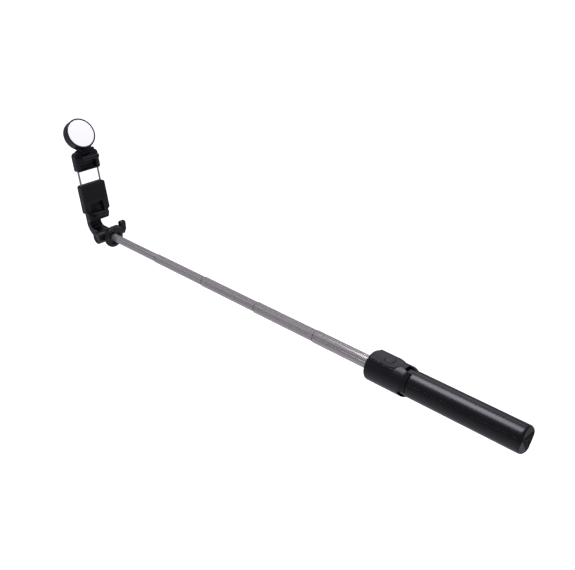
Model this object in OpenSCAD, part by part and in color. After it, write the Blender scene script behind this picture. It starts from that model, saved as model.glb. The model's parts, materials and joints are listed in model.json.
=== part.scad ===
// Telescopic selfie stick: tripod legs that close into the grip, a slide-out remote in the head,
// five fluted tube sections, a swivel and tilt hinge, a sprung clamp and a round lamp.
// Frame: +Y runs along the stick from the grip to the clamp, +Z is up through the remote, +X is
// to the right. The origin is on the stick's axis, halfway along the grip. Millimetres.

/* [Grip and legs] */
// Outer radius of the closed legs, which form the grip
grip_r = 13.8; // [13.4:0.1:14.4]
// Length of the grip
grip_len = 122.5; // [110:0.5:140]
// Gap between two closed legs
seam_gap = 0.3; // [0.3:0.05:0.8]
// Thickness of a leg's shell
leg_wall = 2.4; // [1.8:0.1:3.2]
// Thickness of the closed end of a leg
leg_end_t = 7; // [6:0.5:10]
// Rounding of the butt's outer edge
butt_round = 4; // [2:0.1:4.5]
// Slope of the facet on each leg's end, in degrees
butt_slope = 12; // [8:1:20]
// Number of hollow bays along a leg
leg_bays = 5; // [3:1:8]
// Thickness of the ribs between the bays
rib_t = 2; // [1.5:0.1:3]
// Width of a leg's hinge tongue
tongue_w = 7; // [6:0.5:7.5]
// Radius of a leg's hinge tongue
tongue_r = 2; // [1.8:0.1:2.2]
// Radius of a leg's hinge pin
leg_pin_r = 0.9; // [0.8:0.05:1]
// Distance of the leg pins ahead of the grip
leg_pin_ahead = 4; // [3.5:0.1:4.5]
// Gap beside and ahead of a leg's hinge tongue
slot_gap = 0.9; // [0.4:0.1:1.1]
// Thickness of a rubber foot
foot_t = 1.6; // [1:0.1:2.5]
// Width of the rim left round a rubber foot
foot_rim = 0.9; // [0.6:0.1:1.5]

/* [Head] */
// Length of the head
head_len = 48.5; // [44:0.5:60]
// Radius of the head's round underside
head_r = 15.8; // [15.4:0.1:17]
// Height of the head's deck above the stick's axis
deck_z = 13.6; // [13.2:0.1:14]
// Width of the deck
deck_w = 20.8; // [20.6:0.1:22]
// Rounding of the deck's long edges
deck_round = 1; // [0.5:0.1:1.2]
// Step from the legs down to the head where they meet
neck_step = 0.4; // [0.2:0.1:0.4]
// Length over which the head swells from the legs
shoulder_len = 6.5; // [5:0.5:8]
// Length over which the deck's corners rise out of the round shoulder
wing_len = 2; // [1.5:0.5:4]
// Rounding of the head's front edge
front_round = 2.4; // [2:0.1:3.4]

/* [Remote] */
// Length of the remote
remote_len = 35; // [32:0.5:37]
// Width of the remote
remote_w = 18.8; // [18.2:0.1:19.2]
// Corner radius at the remote's rear
remote_round = 8; // [5:0.5:8]
// How far the cover overhangs the tray at each side
cover_overhang = 1.2; // [1:0.1:1.4]
// Height of the cover's long edges above the stick's axis
cover_edge_z = 14.7; // [14.3:0.1:15]
// Rise of the cover's crown across its width
cover_crown = 0.8; // [0.4:0.1:1.2]
// Wall of the remote's tray
tray_wall = 0.8; // [0.6:0.05:0.9]
// Floor of the remote's tray
tray_floor = 0.55; // [0.45:0.05:0.6]
// Diameter of the shutter button
button_d = 11.4; // [10:0.2:11.6]
// Distance of the shutter button behind the remote's middle
button_back = 4; // [0:0.5:4.5]
// How far the shutter button stands proud of the cover
button_proud = 0.25; // [0.1:0.05:0.6]
// Diameter of the coin cell
cell_d = 12.5; // [9.5:0.5:12.5]
// Thickness of the coin cell
cell_t = 1.6; // [1.2:0.1:1.6]
// Thickness of the circuit boards
board_t = 0.55; // [0.4:0.05:0.6]

/* [Tube sections] */
// Outer radius of the widest moving section
tube_r = 7.08; // [6.9:0.02:7.2]
// Wall of every section
tube_wall = 0.34; // [0.3:0.01:0.38]
// Sliding gap between two sections
tube_gap = 0.2; // [0.16:0.01:0.24]
// Depth of the flutes that keep the sections from turning
flute_depth = 0.4; // [0.3:0.05:0.5]
// Radius of the flutes on the widest section
flute_r = 0.8; // [0.6:0.1:1.2]
// Pulled-out length of the widest section
first_reveal = 74.5; // [70:0.5:90]
// Pulled-out length of each other section
reveal = 87.5; // [80:0.5:90]
// Length of a section that stays inside the next
overlap = 25; // [20:1:30]
// Length of the friction bush at a section's foot
bush_len = 5; // [3:0.5:6]

/* [Swivel and tilt] */
// Radius of the swivel collar
collar_r = 13.4; // [12.4:0.1:14.4]
// Length of the swivel collar
collar_len = 3.6; // [3.2:0.1:6]
// Radius of the recess round the tube
recess_r = 8.8; // [8:0.1:9.4]
// Depth of the recess round the tube
recess_depth = 2.2; // [1.6:0.1:2.4]
// Thickness of the tilt base
base_t = 2.4; // [2.2:0.1:4]
// Radius of the tilt knuckles
knuckle_r = 7.6; // [7:0.1:9]
// Width of the base's lug
lug_w = 9.2; // [8:0.2:11]
// Width of the tilt arm
arm_w = 17; // [16:0.5:22]
// Length of the boss at the arm's left
boss_len = 9; // [7:0.5:11]
// Length of the boss at the arm's right
cheek_len = 7.5; // [5:0.5:9]
// Thickness of the arm's upright plate
arm_t = 7.6; // [6.6:0.1:10]
// Height of the arm's shelf above the tilt axis
arm_shelf_z = 4; // [2:0.5:6]
// Radius of the arm's outer bend
arm_bend_r = 20; // [14:0.5:21]
// Radius of the tilt bolt
bolt_r = 2; // [1.5:0.1:2.5]
// Length of the wing knob's hub
knob_len = 7; // [5:0.5:9]
// Height of the wing knob's paddle above the tilt axis
paddle_h = 12.3; // [11:0.1:16]
// Width of the paddle at its root
paddle_w = 7.4; // [6:0.2:10]
// Thickness of the paddle
paddle_t = 9; // [6:0.5:10]

/* [Clamp] */
// Lean of the clamp from upright, in degrees
clamp_lean = 10; // [0:1:12]
// Height of the lower grip line above the tilt axis
clamp_rise = 28; // [27.5:0.1:33]
// Distance of the slot's front ahead of the tilt axis
clamp_ahead = 7.5; // [6:0.1:10]
// Opening between the jaws
clamp_open = 73.3; // [70:0.1:82]
// Depth of the device slot
slot_depth = 8.7; // [7.5:0.1:9.5]
// Width of the clamp body
body_w = 36.4; // [36:0.2:40]
// Width of the clamp body below the slot
body_low_w = 30; // [28:0.5:32]
// Width of the upper jaw
jaw_w = 34; // [33.6:0.2:38]
// Depth of the clamp body
body_depth = 7; // [6.9:0.1:9]
// Thickness of the clamp's back cover
back_t = 1.6; // [1.4:0.1:2.4]
// Height of the clamp body above the lower grip line
body_top = 39.5; // [38:0.5:41]
// Depth of the clamp body below the lower grip line
body_drop = 9.8; // [9:0.1:11]
// Height of the turning pivot above the lower grip line
pivot_p = 22; // [21.5:0.5:24]
// Radius of the turning pivot
pivot_r = 2.5; // [2:0.1:3]
// Width of the lower claw
lower_claw_w = 18; // [15:0.5:22]
// Width of the upper claw
upper_claw_w = 23; // [18:0.5:23.2]
// Thickness of a claw's plate
claw_t = 1.8; // [1.6:0.1:2.4]
// Height of a claw's lip past its pad
lip_h = 1.8; // [1:0.1:2]
// Reach of a claw in front of the slot
claw_reach = 2; // [1.6:0.1:3]
// Thickness of a claw's rubber pad
pad_t = 1; // [0.8:0.1:1.3]
// Radius of a claw's hinge pin
claw_pin_r = 0.9; // [0.7:0.05:1]
// Radius of the guide rods
rod_r = 1.25; // [1:0.05:1.4]
// Distance of each guide rod from the middle
rod_x_at = 14.6; // [14.5:0.1:14.9]
// Number of turns in a clamp spring
spring_turns = 6; // [4:1:8]
// Radius of the spring wire
wire_r = 0.28; // [0.2:0.02:0.3]
// Height of the upper jaw above the opening
jaw_top = 8; // [7.6:0.1:10]

/* [Lamp] */
// Radius of the lamp
lamp_r = 19.5; // [18:0.5:24]
// Depth of the lamp
lamp_depth = 13; // [12.5:0.5:16]
// Wall of the lamp's housing
lamp_wall = 1.6; // [1.4:0.1:2]
// Distance of the lamp's middle ahead of its hinge
lamp_ahead = 3; // [0:0.1:4]
// Lean of the lamp back from the clamp, in degrees
lamp_lean = 22; // [0:1:25]
// Width of the lamp's hinge knuckle
lamp_knuckle_w = 19.2; // [14:0.2:20]
// Radius of the lamp's hinge knuckle
lamp_knuckle_r = 2.2; // [1.8:0.1:2.4]
// Number of LEDs in the ring
led_count = 12; // [6:1:16]
// Width of an LED
led_w = 2.8; // [2:0.1:3.5]

/* [Fits] */
// Radial clearance of a turning pin
running_fit = 0.05; // [0.02:0.01:0.08]
// Radial clearance of a fixed pin or tube
snug_fit = 0.02; // [0.01:0.01:0.04]
// Gap round a piece that slides or seats
seat_gap = 0.25; // [0.2:0.05:0.3]
// Gap beside a piece that swings
swing_gap = 0.4; // [0.3:0.05:0.5]

/* [Hidden] */
$fn = 72;

// Colours
satin_black = "#26262a";
gloss_black = "#17171b";
rubber_black = "#101012";
silver = "#b9b5ba";
steel = "#8f9298";
nylon = "#3d3d42";
board_green = "#1f5a3c";
diffuser_white = "#f2f0f6";

// Overshoot of every cutting shape, and steps in a rounded corner
cut = 1;
arc_steps = 8;

// Stations along the stick
grip_top = grip_len / 2;
butt_y = -grip_len / 2;
head_front = grip_top + head_len;
collar_y = head_front + first_reveal + 4 * reveal;
sections = 5;

// Tube radii: section 5 is the widest and slides in the fixed guide tube
tube_step = tube_wall + tube_gap;
flute_c = tube_r - flute_depth + flute_r;
flutes = 6;
flute_start = 30;
crimp_len = 2;
crimp_gap = 0.06;
bush_over = 0.12;
guide_bore = tube_r + tube_gap;
guide_r = guide_bore + tube_wall;
guide_front = head_front - 1;
guide_end_gap = 3;
extra_overlap = 12;
first_overlap = overlap + extra_overlap;
collapse_stagger = 1;
guide_foot = head_front - first_overlap - first_reveal - bush_len - guide_end_gap;
plug_t = 3;

// Legs
leg_gap = swing_gap;
leg_len = grip_len - leg_gap;
leg_bore_r = guide_r + 0.8;
leg_core_r = 0.8;
leg_top_round = 1.2;
legs = 3;
half_leg = 180 / legs;
leg_turns = [0, -2 * half_leg, 2 * half_leg];
hinge_block = 10;
leg_pin_y = grip_top + leg_pin_ahead;
leg_pin_sink = 0.6;
leg_pin_z = grip_r - tongue_r - leg_pin_sink;
leg_pin_hold = 0.8;
leg_pin_len = tongue_w + 2 * (slot_gap + leg_pin_hold);
tongue_inset = 0.15;
tongue_round = 2.4;
bay_len = (leg_len - leg_end_t - hinge_block - (leg_bays - 1) * rib_t) / leg_bays;
butt_chord = (grip_r - butt_round) * cos(half_leg);
foot_proud = 0.4;

// Head
neck_r = grip_r - neck_step;
corner_r = norm([remote_w / 2, cover_edge_z]) + 0.2;
shoulder_r = head_r + 0.1;
shoulder_w = 2 * sqrt(pow(shoulder_r, 2) - pow(deck_z, 2)) + 0.3;
deck_corner = [deck_w / 2 - deck_round, deck_z - deck_round];
side_turn = atan2(deck_corner.y, deck_corner.x) - acos((head_r - deck_round) / norm(deck_corner));
bore_web = 0.85;

// Remote, from its floor up
pocket_z = guide_r + bore_web;
tray_z = pocket_z + seat_gap;
remote_rear = head_front - remote_len;
remote_mid = head_front - remote_len / 2;
shoulder_lap = 3;
wing_y = remote_rear + shoulder_lap;
tray_w = remote_w - 2 * cover_overhang;
cover_r = (pow(remote_w / 2, 2) + pow(cover_crown, 2)) / (2 * cover_crown);
cover_axis_z = cover_edge_z + cover_crown - cover_r;
rail_w = 0.7;
rail_h = 1;
rail_z = tray_z + 1.3;
cell_z = tray_z + tray_floor;
board_z = cell_z + cell_t;
button_y = remote_mid - button_back;
switch_r = 2;
switch_h = 0.28;
button_flange = 0.6;
button_flange_t = 0.36;
press_room = 0.3;
cover_z = board_z + board_t + switch_h + press_room + button_flange_t;
button_gap = 0.2;
board_inset = tray_wall + 0.1;

// Swivel post and tilt hinge
tube_tip = collar_y + recess_depth - 0.2;
post_r = tube_bore(1) - flute_depth - snug_fit;
post_len = 12;
post_neck_r = 3.2;
post_head_r = 5;
post_head_t = 1.1;
base_y = collar_y + collar_len;
base_front = base_y + base_t;
base_r = collar_r - 1.2;
hinge_gap = 1;
boss_r = knuckle_r + 0.5;
hinge_y = base_front + hinge_gap + knuckle_r;
swivel_screw_r = 0.8;
swivel_head_r = 1.3;
swivel_screw_at = (tube_outer(1) + recess_r) / 2;
boss_x = -arm_w / 2 - boss_len;
bolt_head_r = 4;
bolt_head_t = 2.2;
cap_t = 1.2;
cap_r = boss_r - 1;
cheek_x = arm_w / 2 + cheek_len;
washer_t = 1;
washer_r = 6;
knob_x = cheek_x + washer_t;
knob_r = 6;
paddle_gap = 1.5;
paddle_x = knob_x + paddle_gap;

// Clamp, in its own leaning frame: x across, y away from the user, z up from the lower grip line
clamp_y = hinge_y + clamp_ahead;
body_q = slot_depth + 0.3;
back_q = body_q + body_depth;
rear_q = back_q + back_t;
turn_boss_len = 3;
turn_boss_r = 10;
turn_washer_t = 0.8;
arm_q = rear_q + turn_boss_len + turn_washer_t;
arm_rear_q = arm_q + arm_t;
arm_disc_r = arm_w / 2 + 0.6;
arm_inner_r = 7;
plate_top = pivot_p - 2;
pivot_head_r = 5;
pivot_head_t = 2.2;
nut_r = 4.4;
nut_t = 2.3;
nut_room = 3.5;
claw_q = body_q + 1.7;
claw_p = -pad_t - claw_t / 2;
claw_knuckle_r = pad_t + claw_t / 2;
claw_len = claw_q + claw_reach;
lip_t = 2;
pocket_q = claw_q - claw_p + seat_gap;
pocket_top = claw_len + claw_p + 3.6;
pocket_low = claw_p - claw_knuckle_r - swing_gap;
pad_root = 2.6;
pad_inset = 1;
claw_pin_hold = 2.7;
rod_q = body_q + 4;
spring_room = 2.4;
spring_wall = 3.5;
spring_top = body_top - spring_wall;
flange_r = 2.15;
flange_t = 1.5;
flange_p = 18.5;
spring_low = 4;
coil_r = rod_r + wire_r + 0.3;
coil_end_gap = 0.1;
jaw_bottom = clamp_open - pocket_top - 2;
jaw_top_p = clamp_open + jaw_top;
rod_grip = 14;
rod_top = jaw_bottom + rod_grip;
back_screw_r = 0.9;
back_screw_head_r = 1.7;
back_screw_head_t = 1;
back_screw_len = 4;
back_screw_x = 8.5;
back_screw_ps = [body_top - 6.5, -body_drop + 1.5];

// Lamp, in a frame at its hinge: y away from the user, z up the lamp
lamp_q = body_q + 2.4;
lamp_hinge_rise = 0.5;
lamp_clearance = 0.8;
lamp_p = jaw_top_p + lamp_hinge_rise;
lamp_rise = lamp_r + lamp_clearance;
lamp_face = -lamp_depth / 2 - lamp_ahead;
lamp_back = lamp_face + lamp_depth;
neck_h = 8;
lamp_ear_t = 3.5;
lamp_ear_r = 2.2;
lamp_pin_r = 1;
bezel_w = 1.6;
bezel_t = 1.2;
diffuser_seat = lamp_face + 1.7;
diffuser_dome = 0.5;
seat_r = lamp_r - bezel_w - 0.9;
ledge_y = lamp_back - 5.3;
ledge_r = seat_r - 1.2;
led_board_t = 1.2;
led_t = 0.7;
led_ring_r = 0.66 * lamp_r;
battery = [20, 3, 16];
battery_drop = 3;
switch_cap_r = 2.8;
switch_flange_r = 3.5;
switch_flange_t = 0.6;
switch_proud = 0.6;
switch_rise = 9.5;

function tube_outer(k) = tube_r - (sections - k) * tube_step;
function tube_bore(k) = tube_outer(k) - tube_wall;
function tube_mouth(k) = k == 1 ? tube_tip : head_front + first_reveal + (sections - k) * reveal;
function tube_foot(k) = k == sections ? head_front - first_overlap : tube_mouth(k + 1) - overlap;

// Points of an arc about c
function arc(c, r, from, to, steps) =
    [for (i = [0 : steps]) let (a = from + (to - from) * i / steps) c + r * [cos(a), sin(a)]];

function unit(v) = v / norm(v);

// One corner of an outline, rounded by r
function corner(a, b, c, r) =
    r == 0 ? [b] :
    let (
        u = unit(a - b),
        v = unit(c - b),
        half = acos(u * v) / 2,
        centre = b + unit(u + v) * r / sin(half),
        first = b + u * r / tan(half) - centre,
        last = b + v * r / tan(half) - centre,
        from = atan2(first.y, first.x),
        sweep = (atan2(last.y, last.x) - from + 900) % 360 - 180
    )
    arc(centre, r, from, from + sweep, arc_steps);

// An outline from points [x, y, corner radius]
function rounded(points) =
    let (n = len(points))
    [for (i = [0 : n - 1])
        let (a = points[(i + n - 1) % n], b = points[i], c = points[(i + 1) % n])
        each corner([a.x, a.y], [b.x, b.y], [c.x, c.y], b.z)];

function sharp(points) = [for (p = points) [p.x, p.y, 0]];

// Clamp coordinates (away, up) as (y, z) of the part's frame
function clamp_point(q, p) = [
    clamp_y + q * cos(clamp_lean) + p * sin(clamp_lean),
    clamp_rise - q * sin(clamp_lean) + p * cos(clamp_lean)
];

// Height in the clamp's frame at which depth q reaches height z of the part's frame
function clamp_height(q, z) = (z - clamp_rise + q * sin(clamp_lean)) / cos(clamp_lean);

// An (x, z) outline carried along +Y
module run_y(from, length) {
    translate([0, from + length, 0]) rotate([90, 0, 0]) linear_extrude(height = length) children();
}

// A (y, z) outline carried along +X
module run_x(from, length) {
    translate([from, 0, 0]) rotate([90, 0, 90]) linear_extrude(height = length) children();
}

// An (x, y) outline carried along +Z
module run_z(from, length) {
    translate([0, 0, from]) linear_extrude(height = length) children();
}

// A (radius, y) outline turned about the stick's axis
module turn_y(from) {
    translate([0, from, 0]) rotate([-90, 0, 0]) rotate_extrude() children();
}

module rod_y(from, length, r) {
    translate([0, from, 0]) rotate([-90, 0, 0]) cylinder(h = length, r = r);
}

module rod_x(from, length, r) {
    translate([from, 0, 0]) rotate([0, 90, 0]) cylinder(h = length, r = r);
}

module box(low, high) {
    translate(low) cube(high - low);
}

module in_leg(k) {
    rotate([0, leg_turns[k], 0]) children();
}

module at_hinge() {
    translate([0, hinge_y, 0]) children();
}

module in_clamp() {
    translate([0, clamp_y, clamp_rise]) rotate([-clamp_lean, 0, 0]) children();
}

module in_lamp() {
    in_clamp() translate([0, lamp_q, lamp_p]) rotate([-lamp_lean, 0, 0]) children();
}

module on_lamp_axis() {
    in_lamp() translate([0, 0, lamp_rise]) children();
}

// The upper jaw's shapes are the lower ones turned over across the opening
module upside() {
    translate([0, 0, clamp_open]) mirror([0, 0, 1]) children();
}

module both_sides() {
    for (side = [-1, 1]) mirror([side < 0 ? 1 : 0, 0, 0]) children();
}

// Section of a fluted tube surface of radius r: the flutes of all sections share their centres
module flute_section(r) {
    difference() {
        circle(r = r);
        for (i = [0 : flutes - 1])
            rotate(flute_start + i * 360 / flutes)
                translate([flute_c, 0])
                    circle(r = flute_c - r + flute_depth);
    }
}

module tube_section(outer, inner) {
    difference() {
        flute_section(outer);
        flute_section(inner);
    }
}

// Section of the head: round below, flat on top
module head_section() {
    polygon(concat(
        arc([0, 0], head_r, 180 - side_turn, 360 + side_turn, 6 * arc_steps),
        arc(deck_corner, deck_round, side_turn, 90, arc_steps),
        arc([-deck_corner.x, deck_corner.y], deck_round, 90, 180 - side_turn, arc_steps)
    ));
}

// Shoulder of the head: it swells from the legs, stays round behind the remote and rises to the deck's corners
shoulder_line = concat(
    [for (i = [0 : 2 * arc_steps])
        let (t = i / (2 * arc_steps))
        [neck_r + (shoulder_r - neck_r) * sin(90 * t), shoulder_len * t]],
    [for (i = [0 : 2 * arc_steps])
        let (t = i / (2 * arc_steps))
        [shoulder_r + (corner_r - shoulder_r) * (1 - cos(180 * t)) / 2, wing_y - grip_top + wing_len * t]]
);

// Turned limit of the head behind its front edge, which is rounded below the deck's corners
module head_limit(rear_line) {
    corner_y = head_len - front_round - corner_r + head_r;
    front = arc([head_r - front_round, head_len - front_round], front_round, 0, 90, arc_steps);
    polygon(concat([[0, 0]], rear_line, [[corner_r, corner_y]], front, [[0, head_len]]));
}

// Plan of the remote, grown by a gap, up to a front line
module remote_plan(width, rear, round_r, front) {
    polygon(rounded([
        [-width / 2, front, 0],
        [-width / 2, rear, round_r],
        [width / 2, rear, round_r],
        [width / 2, front, 0]
    ]));
}

module cover_plan(gap, front) {
    remote_plan(remote_w + 2 * gap, remote_rear - gap, remote_round + gap, front);
}

module tray_plan(gap, front) {
    remote_plan(
        tray_w + 2 * gap,
        remote_rear + cover_overhang - gap,
        remote_round - cover_overhang + gap,
        front
    );
}

module handle_head() {
    color(satin_black)
    difference() {
        intersection() {
            union() {
                run_y(grip_top, head_len) head_section();
                box(
                    [-shoulder_w / 2, grip_top - cut, deck_z - deck_round],
                    [shoulder_w / 2, wing_y, corner_r]
                );
            }
            turn_y(grip_top) head_limit(shoulder_line);
        }
        rod_y(grip_top - cut, head_len + 2 * cut, guide_r + snug_fit);
        // Seat of the remote: its cover's ledge, its tray's pocket and the rail grooves
        run_z(cover_z - seat_gap, head_r) cover_plan(seat_gap, head_front + cut);
        run_z(pocket_z, head_r) tray_plan(seat_gap, head_front + cut);
        box(
            [-tray_w / 2 - rail_w - seat_gap, remote_rear + remote_round - seat_gap, rail_z - seat_gap],
            [tray_w / 2 + rail_w + seat_gap, head_front + cut, rail_z + rail_h + seat_gap]
        );
        for (k = [0 : 2]) in_leg(k) {
            box(
                [-tongue_w / 2 - slot_gap, grip_top - cut, leg_pin_z - tongue_r - seat_gap],
                [tongue_w / 2 + slot_gap, leg_pin_y + tongue_r + slot_gap + swing_gap, 2 * head_r]
            );
            translate([0, leg_pin_y, leg_pin_z])
                rod_x(-leg_pin_len / 2 - seat_gap, leg_pin_len + 2 * seat_gap, leg_pin_r + snug_fit);
        }
    }
}

module guide_tube() {
    color(silver)
    run_y(guide_foot, guide_front - guide_foot)
        difference() {
            circle(r = guide_r);
            flute_section(guide_bore);
        }
}

// Cap on the guide tube's foot, with a spigot inside the tube
module guide_plug() {
    color(nylon) {
        rod_y(guide_foot - plug_t, plug_t, guide_r);
        rod_y(guide_foot - plug_t, plug_t + 2, guide_bore - flute_depth - seat_gap);
    }
}

module leg_pins() {
    color(steel)
    for (k = [0 : 2]) in_leg(k)
        translate([0, leg_pin_y, leg_pin_z]) rod_x(-leg_pin_len / 2, leg_pin_len, leg_pin_r);
}

// The third of the round grip that one leg takes, less half a seam at each side
module leg_third() {
    reach = 3 * grip_r;
    tip = seam_gap / 2 / sin(half_leg);
    side = [reach * sin(half_leg), tip + reach * cos(half_leg)];
    polygon([[0, tip], side, [side.x, 2 * reach], [-side.x, 2 * reach], [-side.x, side.y]]);
}

// Turned section of a leg: a shell with ribs, a solid end and a solid block at the hinge
module leg_section() {
    difference() {
        polygon(rounded([
            [leg_core_r, 0, 0],
            [grip_r, 0, butt_round],
            [grip_r, leg_len, leg_top_round],
            [leg_bore_r, leg_len, 0],
            [leg_bore_r, leg_end_t, 0],
            [leg_core_r, leg_end_t, 0]
        ]));
        for (i = [0 : leg_bays - 1])
            translate([0, leg_end_t + i * (bay_len + rib_t)])
                square([grip_r - leg_wall, bay_len]);
    }
}

module leg_tongue() {
    intersection() {
        run_x(-tongue_w / 2, tongue_w)
            polygon(rounded([
                [grip_top - hinge_block / 2, leg_pin_z - tongue_r, 0],
                [leg_pin_y + tongue_r, leg_pin_z - tongue_r, tongue_r - 0.02],
                [leg_pin_y + tongue_r, grip_r, tongue_round],
                [grip_top - hinge_block / 2, grip_r, 0]
            ]));
        rod_y(butt_y, 2 * grip_len, grip_r - tongue_inset);
    }
}

module foot_plan() {
    low = (seam_gap / 2 + foot_rim) / sin(half_leg);
    high = butt_chord - foot_rim;
    half = (high - low) * tan(half_leg);
    polygon([[0, low], [half, high], [-half, high]]);
}

module leg(k) {
    far = 2 * grip_r;
    color(gloss_black)
    in_leg(k)
    difference() {
        union() {
            intersection() {
                turn_y(butt_y) leg_section();
                run_y(butt_y - cut, grip_len + 2 * cut) leg_third();
            }
            leg_tongue();
        }
        run_x(-far, 2 * far)
            polygon([
                [butt_y - cut, butt_chord - cut / tan(butt_slope)],
                [butt_y - cut, far],
                [butt_y + (far - butt_chord) * tan(butt_slope), far]
            ]);
        translate([0, leg_pin_y, leg_pin_z])
            rod_x(-tongue_w, 2 * tongue_w, leg_pin_r + running_fit);
        run_y(butt_y - cut, foot_t + cut) foot_plan();
    }
}

module foot(k) {
    color(rubber_black)
    in_leg(k) run_y(butt_y - foot_proud, foot_t + foot_proud) foot_plan();
}

// The head's front edge, which the remote follows
module remote_limit() {
    turn_y(grip_top) head_limit([[corner_r, 0]]);
}

// The crowned surface across the remote, raised by a height
module crown(height) {
    translate([0, 0, cover_axis_z]) rod_y(grip_top, head_len, cover_r + height);
}

module remote_tray() {
    color(satin_black)
    difference() {
        intersection() {
            union() {
                run_z(tray_z, cover_z - tray_z) tray_plan(0, head_front);
                box(
                    [-tray_w / 2 - rail_w, remote_rear + remote_round, rail_z],
                    [tray_w / 2 + rail_w, head_front, rail_z + rail_h]
                );
            }
            remote_limit();
        }
        run_z(cell_z, head_r) tray_plan(-tray_wall, head_front - tray_wall);
    }
}

module remote_cover() {
    color(satin_black)
    difference() {
        intersection() {
            run_z(cover_z, head_r) cover_plan(0, head_front);
            crown(0);
            remote_limit();
        }
        translate([0, button_y, cover_z - cut])
            cylinder(h = head_r, r = button_d / 2 + button_gap);
    }
}

module remote_cell() {
    color(steel)
    translate([0, remote_mid, cell_z]) cylinder(h = cell_t, r = cell_d / 2);
}

module remote_board() {
    color(board_green)
    run_z(board_z, board_t) tray_plan(-board_inset, head_front - board_inset);
}

module remote_switch() {
    color(steel)
    translate([0, button_y, board_z + board_t]) cylinder(h = switch_h, r = switch_r);
}

module shutter_button() {
    color(satin_black) {
        intersection() {
            translate([0, button_y, cover_z]) cylinder(h = head_r, r = button_d / 2);
            crown(button_proud);
        }
        translate([0, button_y, cover_z - button_flange_t])
            cylinder(h = button_flange_t, r = button_d / 2 + button_flange);
    }
}

// A section's wall, with its mouth crimped in round the next one; section 1 has no crimp
module tube(k) {
    foot_y = tube_foot(k);
    straight = tube_mouth(k) - foot_y - (k == 1 ? 0 : crimp_len);
    color(silver) {
        run_y(foot_y, straight) tube_section(tube_outer(k), tube_bore(k));
        if (k > 1)
            run_y(foot_y + straight, crimp_len)
                tube_section(tube_outer(k), tube_outer(k - 1) + crimp_gap);
    }
}

module bush(k) {
    color(nylon)
    run_y(tube_foot(k) - bush_len, bush_len) tube_section(tube_outer(k) + bush_over, tube_bore(k));
}

module tip_post() {
    neck_len = base_y + seat_gap - tube_tip;
    color(steel) {
        rod_y(tube_tip - post_len, post_len, post_r);
        rod_y(tube_tip - post_len, post_len + neck_len, post_neck_r);
        rod_y(tube_tip + neck_len, post_head_t, post_head_r);
    }
}

module swivel_collar() {
    color(satin_black)
    difference() {
        turn_y(collar_y)
            polygon(rounded([
                [post_neck_r + running_fit, recess_depth, 0],
                [recess_r, recess_depth, 0],
                [recess_r, 0, 0],
                [collar_r, 0, 1.2],
                [collar_r, collar_len, 0.6],
                [post_neck_r + running_fit, collar_len, 0]
            ]));
        at_swivel_screws() rod_y(collar_y, collar_len + cut, swivel_screw_r + snug_fit);
    }
}

module at_swivel_screws() {
    for (side = [-1, 1]) translate([0, 0, side * swivel_screw_at]) children();
}

module swivel_screws() {
    color(steel)
    at_swivel_screws() {
        rod_y(collar_y + recess_depth, base_front - collar_y - recess_depth - 0.6, swivel_screw_r);
        rod_y(collar_y + recess_depth - 0.9, 0.9, swivel_head_r);
    }
}

module tilt_base() {
    color(satin_black)
    difference() {
        union() {
            turn_y(base_y)
                polygon(rounded([[0, 0, 0], [base_r, 0, 0], [base_r, base_t, 0.8], [0, base_t, 0]]));
            run_x(-lug_w / 2, lug_w)
                polygon(rounded([
                    [base_front - base_t / 2, -knuckle_r, 0],
                    [hinge_y + knuckle_r, -knuckle_r, knuckle_r - 0.02],
                    [hinge_y + knuckle_r, knuckle_r, knuckle_r - 0.02],
                    [base_front - base_t / 2, knuckle_r, 0]
                ]));
        }
        rod_y(base_y - cut, cut + seat_gap + post_head_t + seat_gap, post_head_r + seat_gap);
        at_hinge() rod_x(-lug_w, 2 * lug_w, bolt_r + running_fit);
        at_swivel_screws() rod_y(base_y - cut, base_t - 0.6 + cut, swivel_screw_r + snug_fit);
    }
}

// Side view of the arm: a knuckle, a shelf ahead of it and an upright plate behind the clamp
module arm_outline() {
    shelf_turn = asin(arm_shelf_z / knuckle_r);
    low = clamp_point(arm_rear_q, clamp_height(arm_rear_q, -knuckle_r));
    inner = clamp_point(arm_q, clamp_height(arm_q, arm_shelf_z));
    rear_top = clamp_point(arm_rear_q, plate_top);
    front_top = clamp_point(arm_q, plate_top);
    polygon(rounded(concat(
        [[hinge_y, -knuckle_r, 0], [low.x, low.y, arm_bend_r]],
        sharp([rear_top, front_top]),
        [[inner.x, inner.y, arm_inner_r]],
        sharp(arc([hinge_y, 0], knuckle_r, shelf_turn, 264, 4 * arc_steps))
    )));
}

module tilt_arm() {
    fork = lug_w / 2 + seat_gap;
    room = knuckle_r + swing_gap;
    color(satin_black)
    difference() {
        union() {
            run_x(-arm_w / 2, arm_w) arm_outline();
            at_hinge() rod_x(boss_x, boss_len + cut, boss_r);
            at_hinge() rod_x(arm_w / 2 - cut, cheek_x - arm_w / 2 + cut, boss_r);
            in_clamp() translate([0, 0, pivot_p]) rod_y(arm_q, arm_t, arm_disc_r);
        }
        // Room for the base's lug over the whole tilt
        at_hinge() {
            rod_x(-fork, 2 * fork, room);
            box([-fork, -3 * knuckle_r, -3 * knuckle_r], [fork, room, 0]);
            box([-fork, -3 * knuckle_r, -cut], [fork, 0, 3 * knuckle_r]);
            rod_x(boss_x - cut, cheek_x - boss_x + 2 * cut, bolt_r + snug_fit);
            rod_x(boss_x - cut, cap_t + bolt_head_t + seat_gap + cut, bolt_head_r + seat_gap);
        }
        in_clamp() translate([0, 0, pivot_p]) {
            rod_y(arm_q - cut, arm_t + 2 * cut, pivot_r + snug_fit);
            rod_y(arm_rear_q - pivot_head_t, pivot_head_t + cut, pivot_head_r + seat_gap);
        }
    }
}

module tilt_bolt() {
    head_x = boss_x + cap_t + seat_gap;
    color(steel)
    at_hinge() {
        rod_x(head_x, bolt_head_t, bolt_head_r);
        rod_x(head_x, knob_x + knob_len - 1 - head_x, bolt_r);
    }
}

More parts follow.
